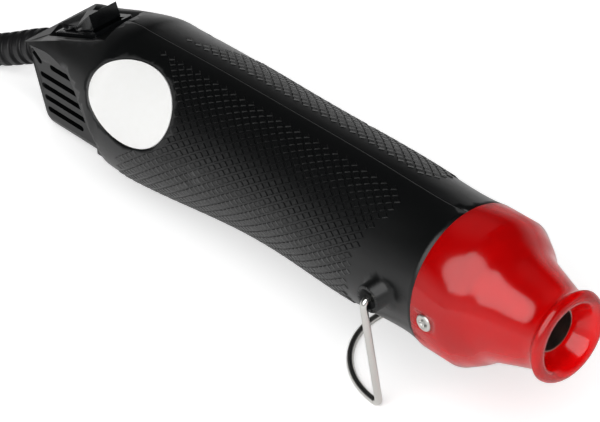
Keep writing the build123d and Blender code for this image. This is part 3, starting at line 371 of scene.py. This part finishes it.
def smooth_copy(node_name, piece_name, slot_name, material):
    """A merged and smoothed copy of a node, which stands for it on the same body."""
    source = nodes[node_name]
    mesh = source.data.copy()
    mesh.name = piece_name
    work = bmesh.new()
    work.from_mesh(mesh)
    bmesh.ops.remove_doubles(work, verts=work.verts, dist=0.002 * MM)
    work.to_mesh(mesh)
    work.free()
    if mesh.has_custom_normals:
        mesh.normals_split_custom_set([(0, 0, 0)] * len(mesh.loops))
    mesh.shade_smooth()
    mesh.set_sharp_from_angle(angle=math.radians(smooth_angle))
    piece = bpy.data.objects.new(piece_name, mesh)
    scene.collection.objects.link(piece)
    only_material(piece, material)
    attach(piece, source["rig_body"])
    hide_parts(node_name)
    return piece


shown = {
    node_name: smooth_copy(node_name, *finish) for node_name, finish in shown_finish.items()
}
print("smoothed", sorted(shown))

# %% [markdown]
# The supply cord is a fixed length of something springy. It leaves its strain relief straight,
# comes down to the table in a loose curve and goes straight into the coil that it is wound up
# in, behind the tool. The coil is four layers deep, each going in or out over the one below, and
# the plug lies on top. One NURBS curve carries all of it, with the route's points as its control
# points, so that it never looks like bent wire.

# %% Cord: route, coil and piece
cord_radius = 3.0
cord_route = [
    (-136.572, -7.663, 4.415), (-142.986, -10.034, 3.0), (-154.626, -15.9, 3.0),
    (-165.926, -25.0, 3.0), (-174.733, -32.96, 3.0),
]
coil_centre = (-203.026, -10.5)
coil_mean_radius = 30.0
coil_pitch = 6.6
coil_start_angle = -48.0
layer_turns = 1.65
layer_count = 4
coil_total = 7.117
climb_turns = 0.5
last_climb_turns = 0.74
plug_rise = 11.2
coil_exit_run = 6.0
points_per_turn = 24
coil_outer = coil_mean_radius + coil_pitch * layer_turns / 2
climbs = [(layer * layer_turns, coil_pitch, climb_turns) for layer in range(1, layer_count)]
climbs.append((layer_count * layer_turns, plug_rise, last_climb_turns))


def wound_point(turns):
    """Point on the wound-up cord: in and out again, a layer higher each time."""
    angle = math.radians(coil_start_angle) - 2 * math.pi * turns
    layer = min(int(turns / layer_turns), layer_count)
    into_layer = turns - layer * layer_turns
    turns_in = layer_turns - into_layer if layer % 2 else into_layer
    radius = coil_outer - coil_pitch * turns_in
    height = cord_radius
    for reversal, rise, length in climbs:
        climb = min(max((turns - reversal + climb_turns / 2) / length, 0), 1)
        height += rise * (1 - math.cos(math.pi * climb)) / 2
    return Vector((
        coil_centre[0] + radius * math.cos(angle), coil_centre[1] + radius * math.sin(angle), height
    ))


coil_points = [
    wound_point(step / points_per_turn) for step in range(round(coil_total * points_per_turn) + 1)
]
exit_way = (wound_point(coil_total) - wound_point(coil_total - 0.002)).normalized()
coil_end = wound_point(coil_total) + exit_way * coil_exit_run
cord_points = [Vector(point) for point in cord_route] + coil_points
cord_points += [coil_points[-1].lerp(coil_end, 0.5), coil_end]
cord_curve = bpy.data.curves.new("supply_flex", "CURVE")
cord_curve.dimensions = "3D"
cord_curve.bevel_depth = cord_radius * MM
cord_curve.bevel_resolution = 6
cord_curve.use_fill_caps = True
cord_curve.resolution_u = 4
spline = cord_curve.splines.new("NURBS")
spline.points.add(len(cord_points) - 1)
for target, point in zip(spline.points, cord_points):
    target.co = (*(point * MM), 1)
spline.order_u = 3
spline.use_endpoint_u = True
cord_curve.materials.append(vinyl)
cord = bpy.data.objects.new("supply_flex", cord_curve)
scene.collection.objects.link(cord)
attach(cord, "housing")
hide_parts("supply_cord", "cord_coil")
print("cord points", len(cord_points))

# %% [markdown]
# The two forms with much repetition are made by Geometry Nodes. Three helpers serve both: one
# starts a tree with named inputs, one runs it and keeps the plain mesh, and one ends it in real
# geometry with its material.

# %% Helpers for Geometry Nodes


def geometry_tree(name, sockets):
    """A new Geometry Nodes tree with named inputs: (name, kind, value)."""
    tree = bpy.data.node_groups.new(name, "GeometryNodeTree")
    tree.interface.new_socket("Geometry", in_out="INPUT", socket_type="NodeSocketGeometry")
    for socket_name, kind, _ in sockets:
        tree.interface.new_socket(socket_name, in_out="INPUT", socket_type=kind)
    tree.interface.new_socket("Geometry", in_out="OUTPUT", socket_type="NodeSocketGeometry")
    return tree, tree.nodes.new("NodeGroupInput").outputs


def run_tree(carrier, tree, sockets, piece_name):
    """Put the tree on an object, set its inputs by identifier and return its plain mesh."""
    modifier = carrier.modifiers.new("making", "NODES")
    modifier.node_group = tree
    values = {socket_name: value for socket_name, _, value in sockets}
    for item in tree.interface.items_tree:
        if item.in_out == "INPUT" and item.name in values:
            modifier[item.identifier] = values[item.name]
    evaluated = carrier.evaluated_get(bpy.context.evaluated_depsgraph_get())
    mesh = bpy.data.meshes.new_from_object(evaluated)
    carrier.modifiers.remove(modifier)
    piece = bpy.data.objects.new(piece_name, mesh)
    scene.collection.objects.link(piece)
    mesh.name = piece_name
    print(piece_name, "faces:", len(mesh.polygons))
    return piece


def finish_tree(tree, geometry, material_socket):
    """End a tree in real geometry with its material."""
    real = add_node(tree, "GeometryNodeRealizeInstances", {"Geometry": geometry})
    painted = add_node(tree, "GeometryNodeSetMaterial", {
        "Geometry": real.outputs[0], "Material": material_socket,
    })
    add_node(tree, "NodeGroupOutput", {0: painted.outputs[0]})


print("helpers ready")

# %% [markdown]
# The strain relief is a tapered vinyl sleeve with ribs, which lets the cord bend without a kink.
# It follows a path and repeats its ribs, so Geometry Nodes draw it: the path is resampled, its
# radius swings between rib and groove while it tapers, and a circle is swept along it.

# %% Strain relief
relief_path = [
    (-169.6, 0.0, -3.97), (-172.551, 0.0, -4.622), (-178.468, -0.268, -6.32),
    (-184.163, -1.03, -8.551), (-189.678, -2.216, -11.039), (-195.146, -3.766, -13.43),
    (-200.699, -5.617, -15.36), (-206.39, -7.663, -16.541),
]
relief_root = 5.7
relief_tip = 5.0
relief_groove = 1.0
relief_neck = 4.0
relief_rib_count = 9
relief_neck_share = 0.085
relief_last_rib = 0.35
relief_first_phase = 0.3
groove_full = -0.55
groove_none = 0.25
relief_steps = 260
relief_sides = 48
relief_smooth_angle = 50.0
relief_sockets = [
    ("Ribs", "NodeSocketFloat", float(relief_rib_count)),
    ("Root radius", "NodeSocketFloat", relief_root * MM),
    ("Tip radius", "NodeSocketFloat", relief_tip * MM),
    ("Groove", "NodeSocketFloat", relief_groove * MM),
    ("Neck radius", "NodeSocketFloat", relief_neck * MM),
    ("Neck share", "NodeSocketFloat", relief_neck_share),
    ("Material", "NodeSocketMaterial", vinyl),
]
tree, given = geometry_tree("ribbed_relief", relief_sockets)
path = add_node(tree, "GeometryNodeResampleCurve", {
    "Curve": given["Geometry"], "Count": relief_steps,
})
share = add_node(tree, "GeometryNodeSplineParameter").outputs["Factor"]
sleeve_share = add_node(tree, "ShaderNodeMapRange", {
    "Value": share, "From Min": given["Neck share"], "From Max": 1.0,
}).outputs[0]
taper = add_node(tree, "ShaderNodeMapRange", {
    "Value": sleeve_share, "To Min": given["Root radius"], "To Max": given["Tip radius"],
}).outputs[0]
ribs_run = maths(tree, "SUBTRACT", given["Ribs"], relief_last_rib)
phase = maths(tree, "SUBTRACT", maths(tree, "MULTIPLY", sleeve_share, ribs_run), relief_first_phase)
swing = maths(tree, "COSINE", maths(tree, "MULTIPLY", phase, math.tau))
depth = add_node(tree, "ShaderNodeMapRange", {
    "Value": swing, "From Min": groove_full, "From Max": groove_none, "To Min": 1.0, "To Max": 0.0,
}, interpolation_type="SMOOTHSTEP").outputs[0]
ribbed = maths(tree, "SUBTRACT", taper, maths(tree, "MULTIPLY", depth, given["Groove"]))
in_neck = maths(tree, "LESS_THAN", share, given["Neck share"])
chosen = add_node(tree, "GeometryNodeSwitch", {
    "Switch": in_neck, "False": ribbed, "True": given["Neck radius"],
}, input_type="FLOAT").outputs[0]
sized = add_node(tree, "GeometryNodeSetCurveRadius", {"Curve": path.outputs[0], "Radius": chosen})
ring = add_node(tree, "GeometryNodeCurvePrimitiveCircle", {
    "Resolution": relief_sides, "Radius": 1.0,
})
swept = add_node(tree, "GeometryNodeCurveToMesh", {
    "Curve": sized.outputs[0], "Profile Curve": ring.outputs[0], "Fill Caps": True,
    "Scale": add_node(tree, "GeometryNodeInputRadius").outputs[0],
})
smoothed = add_node(tree, "GeometryNodeSetShadeSmooth", {"Geometry": swept.outputs[0]})
finish_tree(tree, smoothed.outputs[0], given["Material"])

path_curve = bpy.data.curves.new("relief_path", "CURVE")
path_curve.dimensions = "3D"
path_spline = path_curve.splines.new("NURBS")
path_spline.points.add(len(relief_path) - 1)
for target, point in zip(path_spline.points, relief_path):
    target.co = (*tool_point(*point), 1)
path_spline.order_u = 3
path_spline.use_endpoint_u = True
carrier = bpy.data.objects.new("relief_path", path_curve)
scene.collection.objects.link(carrier)
relief = run_tree(carrier, tree, relief_sockets, "cord_sleeve")
bpy.data.objects.remove(carrier)
relief.data.set_sharp_from_angle(angle=math.radians(relief_smooth_angle))
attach(relief, "housing")
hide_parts("strain_relief")

# %% [markdown]
# The grip is two panels of low diamond pads, one on each half, that the mould leaves standing
# 0.3 mm proud. They repeat and follow the barrel's curve, so Geometry Nodes place them: a grid
# of points is wrapped round the barrel, rays find the real surface, and a four-sided pad is set
# on each hit, square to it. The front and rear edges of a panel are curves of the angle, and an
# oval round the plate stays free.

# %% Grip: shape of a panel
pad_along = 3.8
pad_around = 2.7
pad_gap = 0.5
pad_height = 0.3
pad_sink = 0.15
pad_top_share = 0.72
panel_top = 78.0
panel_bottom = -78.0
grip_radius = 22.0
ray_start = 40.0
ray_length = 50.0
front_edge = (
    (78, -20.5), (74, -17.9), (61, -18.2), (46, -19.6), (34, -21.6), (22, -23.3), (10, -24.0),
    (-18, -26.5), (-50, -29.0), (-70, -31.0), (-78, -34.0),
)
rear_edge = (
    (78, -119.0), (71, -113.9), (61, -107.0), (52, -103.0), (42, -100.5), (31, -100.3),
    (20, -102.5), (10, -106.5), (0, -111.5), (-8, -116.3), (-20, -121.0), (-40, -124.0),
    (-60, -124.0), (-78, -118.0),
)
longest = 130.0
plate_along = -117.4
plate_angle = 30.0
plate_reach_along = 18.9
plate_reach_around = 13.6


def edge_curve(tree, edge, value):
    """A place along the barrel, as a share of its length, from a share of the panel's angle."""
    drawn = add_node(tree, "ShaderNodeFloatCurve", {"Value": value})
    points = drawn.mapping.curves[0].points
    shares = sorted(
        ((angle - panel_bottom) / (panel_top - panel_bottom), -along / longest)
        for angle, along in edge
    )
    while len(points) < len(shares):
        points.new(0.5, 0.5)
    for target, (x, y) in zip(points, shares):
        target.location = (x, y)
    drawn.mapping.update()
    return drawn.outputs[0]


def barrel_frame(tree, along, angle, side):
    """Start and direction of a ray from outside the barrel towards its axis."""
    sideways = maths(tree, "MULTIPLY", maths(tree, "COSINE", angle), side)
    upwards = maths(tree, "SINE", angle)
    out = add_node(tree, "ShaderNodeCombineXYZ", {1: sideways, 2: upwards}).outputs[0]
    start = add_node(tree, "ShaderNodeVectorMath", {0: out, "Scale": ray_start * MM},
                     operation="SCALE").outputs[0]
    behind = add_node(tree, "ShaderNodeCombineXYZ", {0: along}).outputs[0]
    start = add_node(tree, "ShaderNodeVectorMath", {0: start, 1: behind}).outputs[0]
    inward = add_node(tree, "ShaderNodeVectorMath", {0: out, "Scale": -1.0},
                      operation="SCALE").outputs[0]
    return start, inward


tool_angle = math.atan2(forward.z, forward.x)
print("panel from", panel_bottom, "to", panel_top, "degrees, leans", round(tool_angle, 4))

# %% Grip: the tree and its two panels
grip_sockets = [
    ("Shell", "NodeSocketObject", None),
    ("Side", "NodeSocketFloat", 0.0),
    ("Pad along", "NodeSocketFloat", pad_along * MM),
    ("Pad around", "NodeSocketFloat", pad_around * MM),
    ("Gap", "NodeSocketFloat", pad_gap * MM),
    ("Height", "NodeSocketFloat", pad_height * MM),
    ("Material", "NodeSocketMaterial", abs_black),
]
panel_arc = math.radians(panel_top - panel_bottom)
row_count = int(2 * panel_arc * grip_radius / pad_around) + 1
column_count = int(longest / pad_along) + 1
tree, given = geometry_tree("diamond_grip", grip_sockets)
grid = add_node(tree, "GeometryNodeMeshGrid", {
    "Size X": 1.0, "Size Y": 1.0, "Vertices X": row_count, "Vertices Y": column_count,
})
index = add_node(tree, "GeometryNodeInputIndex").outputs[0]
row = maths(tree, "FLOOR", maths(tree, "DIVIDE", index, float(column_count)))
column = maths(tree, "MODULO", index, float(column_count))
odd = maths(tree, "MODULO", row, 2.0)
stagger = maths(tree, "MULTIPLY_ADD", odd, 0.5, column)
along = maths(tree, "MULTIPLY", stagger, maths(tree, "MULTIPLY", given["Pad along"], -1.0))
row_angle = maths(tree, "DIVIDE", given["Pad around"], 2 * grip_radius * MM)
angle = maths(tree, "MULTIPLY_ADD", row, row_angle, math.radians(panel_bottom))
arc_share = maths(tree, "DIVIDE", maths(tree, "MULTIPLY", row, row_angle), panel_arc)
back_share = maths(tree, "DIVIDE", along, -longest * MM)
behind_front = maths(tree, "GREATER_THAN", back_share, edge_curve(tree, front_edge, arc_share))
before_rear = maths(tree, "LESS_THAN", back_share, edge_curve(tree, rear_edge, arc_share))
start, inward = barrel_frame(tree, along, angle, given["Side"])
place = add_node(tree, "ShaderNodeVectorRotate", {
    "Vector": start, "Axis": (0, -1, 0), "Angle": tool_angle,
}).outputs[0]
place = add_node(tree, "ShaderNodeVectorMath", {0: place, 1: tuple(tool_origin)}).outputs[0]
ray = add_node(tree, "ShaderNodeVectorRotate", {
    "Vector": inward, "Axis": (0, -1, 0), "Angle": tool_angle,
}).outputs[0]
shell = add_node(tree, "GeometryNodeObjectInfo", {"Object": given["Shell"]})
hit = add_node(tree, "GeometryNodeRaycast", {
    "Target Geometry": shell.outputs["Geometry"], "Source Position": place,
    "Ray Direction": ray, "Ray Length": ray_length * MM,
})
off_along = maths(tree, "MULTIPLY", maths(tree, "SUBTRACT", along, plate_along * MM),
                  1 / (plate_reach_along * MM))
off_around = maths(tree, "MULTIPLY", maths(tree, "SUBTRACT", angle, math.radians(plate_angle)),
                   grip_radius / plate_reach_around)
off_plate = maths(tree, "MULTIPLY_ADD", off_along, off_along,
                  maths(tree, "MULTIPLY", off_around, off_around))
keep = maths(tree, "MULTIPLY", behind_front, before_rear)
keep = maths(tree, "MULTIPLY", keep, maths(tree, "GREATER_THAN", off_plate, 1.0))
keep = maths(tree, "MULTIPLY", keep, hit.outputs["Is Hit"])
placed = add_node(tree, "GeometryNodeSetPosition", {
    "Geometry": grid.outputs[0], "Position": hit.outputs["Hit Position"],
})
turned = add_node(tree, "FunctionNodeAxesToRotation", {
    "Primary Axis": hit.outputs["Hit Normal"], "Secondary Axis": tuple(forward),
}, primary_axis="Z", secondary_axis="X")
pad = add_node(tree, "GeometryNodeMeshCone", {
    "Vertices": 4, "Side Segments": 1, "Fill Segments": 1, "Radius Top": pad_top_share,
    "Radius Bottom": 1.0, "Depth": maths(tree, "ADD", given["Height"], pad_sink * MM),
})
length_left = maths(tree, "SUBTRACT", given["Pad along"], given["Gap"])
width_left = maths(tree, "SUBTRACT", given["Pad around"], given["Gap"])
reach_along = maths(tree, "MULTIPLY", length_left, 0.5)
reach_around = maths(tree, "MULTIPLY", width_left, 0.5)
pad_scale = add_node(tree, "ShaderNodeCombineXYZ", {0: reach_along, 1: reach_around, 2: 1.0})
pad = add_node(tree, "GeometryNodeTransform", {
    "Geometry": pad.outputs["Mesh"], "Scale": pad_scale.outputs[0],
    "Translation": (0, 0, -pad_sink * MM),
})
pads = add_node(tree, "GeometryNodeInstanceOnPoints", {
    "Points": placed.outputs[0], "Selection": keep, "Instance": pad.outputs[0],
    "Rotation": turned.outputs[0],
})
finish_tree(tree, pads.outputs[0], given["Material"])

for side, node_name, piece_name in (
    (-1, "right_shell", "grip_right"), (1, "left_shell", "grip_left"),
):
    carrier = bpy.data.objects.new("grip_carrier", bpy.data.meshes.new("grip_carrier"))
    scene.collection.objects.link(carrier)
    values = [(name, kind, {"Shell": shown[node_name], "Side": float(side)}.get(name, value))
              for name, kind, value in grip_sockets]
    grip = run_tree(carrier, tree, values, piece_name)
    bpy.data.objects.remove(carrier)
    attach(grip, "housing")

# %% [markdown]
# The table is a plain white sweep, nearly pure white in the photograph. More lamps would wash out
# the black tool, so the floor itself is brighter where the camera, a reflection or the clear cap
# looks at it: part of its white is given, and the rest is lit and so keeps the soft shadow.

# %% Floor
given_white = 0.47
mirrored_share = 0.25
floor_white, tree, shader = new_material("matt_white_sweep", "#f4f4f4", 0.9)
shader.inputs["Specular IOR Level"].default_value = 0.0
shader.inputs["Emission Color"].default_value = (1, 1, 1, 1)
looks = add_node(tree, "ShaderNodeLightPath").outputs
mirrored = maths(tree, "MULTIPLY", looks["Is Glossy Ray"], mirrored_share)
seen = maths(tree, "MAXIMUM", looks["Is Camera Ray"], looks["Is Transmission Ray"])
seen = maths(tree, "MAXIMUM", seen, mirrored)
tree.links.new(maths(tree, "MULTIPLY", seen, given_white), shader.inputs["Emission Strength"])
bpy.ops.mesh.primitive_plane_add(size=6.0)
floor = bpy.context.object
floor.name = "floor"
only_material(floor, floor_white)

# %% [markdown]
# The light is that of a small product tent: bright walls low down, which give the glossy parts
# their long soft reflections, a dark ceiling and a darker wall behind the tool's rear, which keep
# the top of the barrel and the deck black. The world's colour runs with height for that. The key
# box stands in front, high up on the right, where the cap's shoulder mirrors it and the barrel
# doesn't. The second box only fills, so reflections don't show it.

# %% Light
wall_top = 0.12
ceiling_edge = 0.46
wall_strength = 0.66
rear_strength = 0.2
world = bpy.data.worlds.new("tent")
scene.world = world
world.use_nodes = True
tree = world.node_tree
direction = add_node(tree, "ShaderNodeTexCoord").outputs["Generated"]
parts = add_node(tree, "ShaderNodeSeparateXYZ", {0: direction}).outputs
ramp = add_node(tree, "ShaderNodeValToRGB", {"Fac": parts["Z"]})
ramp.color_ramp.elements[0].position = wall_top
ramp.color_ramp.elements[0].color = (1, 1, 1, 1)
ramp.color_ramp.elements[1].position = ceiling_edge
ramp.color_ramp.elements[1].color = (0.03, 0.03, 0.03, 1)
background = tree.nodes["Background"]
tree.links.new(ramp.outputs[0], background.inputs["Color"])
strength = add_node(tree, "ShaderNodeMapRange", {
    "Value": parts["X"], "From Min": -0.95, "From Max": -0.45, "To Min": rear_strength,
    "To Max": wall_strength,
})
tree.links.new(strength.outputs[0], background.inputs["Strength"])


def soft_box(name, place, target, size, watts):
    """An area lamp that looks at a point."""
    lamp = bpy.data.lights.new(name, "AREA")
    lamp.shape = "ELLIPSE"
    lamp.size, lamp.size_y = size
    lamp.energy = watts
    box = bpy.data.objects.new(name, lamp)
    box.location = place
    box.rotation_euler = (Vector(target) - Vector(place)).to_track_quat("-Z", "Y").to_euler()
    scene.collection.objects.link(box)
    return box


soft_box("key_box", (0.35, -0.65, 0.85), (0, 0, 0.03), (1.5, 1.2), 12.5)
top_box = soft_box("top_box", (-0.5, 0.5, 1.1), (0, 0, 0.03), (1.1, 1.1), 4.5)
top_box.visible_glossy = False
